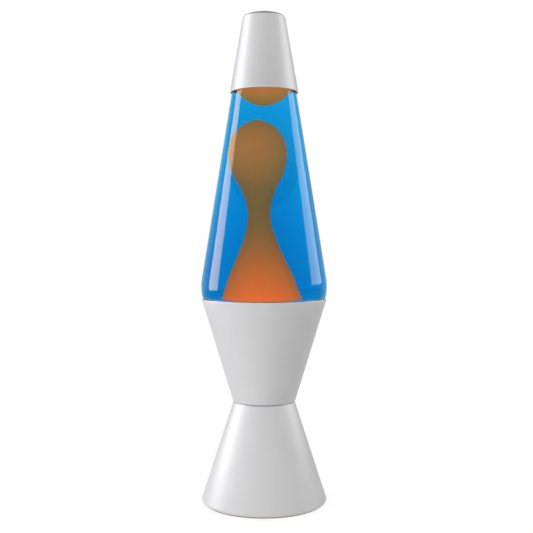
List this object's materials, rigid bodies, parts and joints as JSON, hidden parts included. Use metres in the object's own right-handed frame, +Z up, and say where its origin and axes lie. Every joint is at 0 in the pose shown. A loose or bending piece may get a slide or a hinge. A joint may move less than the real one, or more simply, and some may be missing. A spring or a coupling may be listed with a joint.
{
  "type": "lava lamp",
  "caption": "Table lamp: a tapered glass globe of coloured liquid and drifting wax stands in an hourglass metal base over a bulb, under a metal cap.",
  "frame": {"origin": "on the lamp's axis, at the underside of the felt pad that it stands on", "axes": "+Z up along the lamp's axis; -Y is the front; the cord hole is at the back, on +Y"},
  "size_m": [0.0954, 0.0954, 0.3683],
  "materials": {
    "spun_aluminium": "satin",
    "globe_glass": "polished",
    "blue_liquid": "gloss",
    "orange_wax": "gloss",
    "steel_wire": "satin",
    "zinc_steel": "satin",
    "gold_steel": "gloss",
    "liner_plastic": "matte",
    "brown_felt": "matte",
    "cover_steel": "matte",
    "black_rubber": "matte",
    "white_porcelain": "gloss",
    "brass": "satin",
    "bulb_glass": "polished",
    "black_glass": "gloss",
    "solder": "satin"
  },
  "bodies": {
    "base": {"stand_cone": "spun_aluminium", "globe_cup": "spun_aluminium", "bottom_cover": "cover_steel", "felt_pad": "brown_felt", "cord_grommet": "black_rubber", "waist_rivets": "spun_aluminium", "socket_bracket": "zinc_steel", "bracket_screws": "zinc_steel", "bracket_washers": "zinc_steel", "bracket_nuts": "zinc_steel", "socket_body": "white_porcelain", "terminal_screws": "brass", "socket_screw_shell": "brass", "socket_contact": "brass", "socket_nipple": "zinc_steel", "nipple_washer": "zinc_steel", "nipple_nut": "zinc_steel"},
    "bulb_tip": {"bulb_contact": "solder"},
    "bulb": {"bulb_insulator": "black_glass", "bulb_screw_base": "brass", "bulb_glass": "bulb_glass", "bulb_stem": "bulb_glass", "bulb_leads": "steel_wire", "bulb_filament": "steel_wire"},
    "globe": {"globe_glass": "globe_glass", "wax_column": "orange_wax", "liquid": "blue_liquid", "heating_coil": "steel_wire", "crown_liner": "liner_plastic", "crown_cap": "gold_steel"},
    "blob": {"wax_blob": "orange_wax"},
    "cap": {"top_cap": "spun_aluminium"}
  },
  "joints": [
    {"name": "globe_lift", "type": "slide", "parent": "base", "child": "globe", "axis": [0, 0, 1], "range_m": [0, 0.06]},
    {"name": "cap_lift", "type": "slide", "parent": "globe", "child": "cap", "axis": [0, 0, 1], "range_m": [0, 0.062]},
    {"name": "blob_sink", "type": "slide", "parent": "globe", "child": "blob", "axis": [0, 0, -1], "range_m": [0, 0.009], "deforming": ["liquid"]},
    {"name": "bulb_rise", "type": "slide", "parent": "base", "child": "bulb_tip", "axis": [0, 0, 1], "range_m": [0, 0.0114]},
    {"name": "bulb_turn", "type": "hinge", "parent": "bulb_tip", "child": "bulb", "pos_m": [0, 0, 0.07], "axis": [0, 0, 1], "range_deg": [0, 1440]}
  ],
  "couplings": [
    {"joint": "bulb_rise", "follows": "bulb_turn", "m_per_rad": 0.00044914}
  ]
}
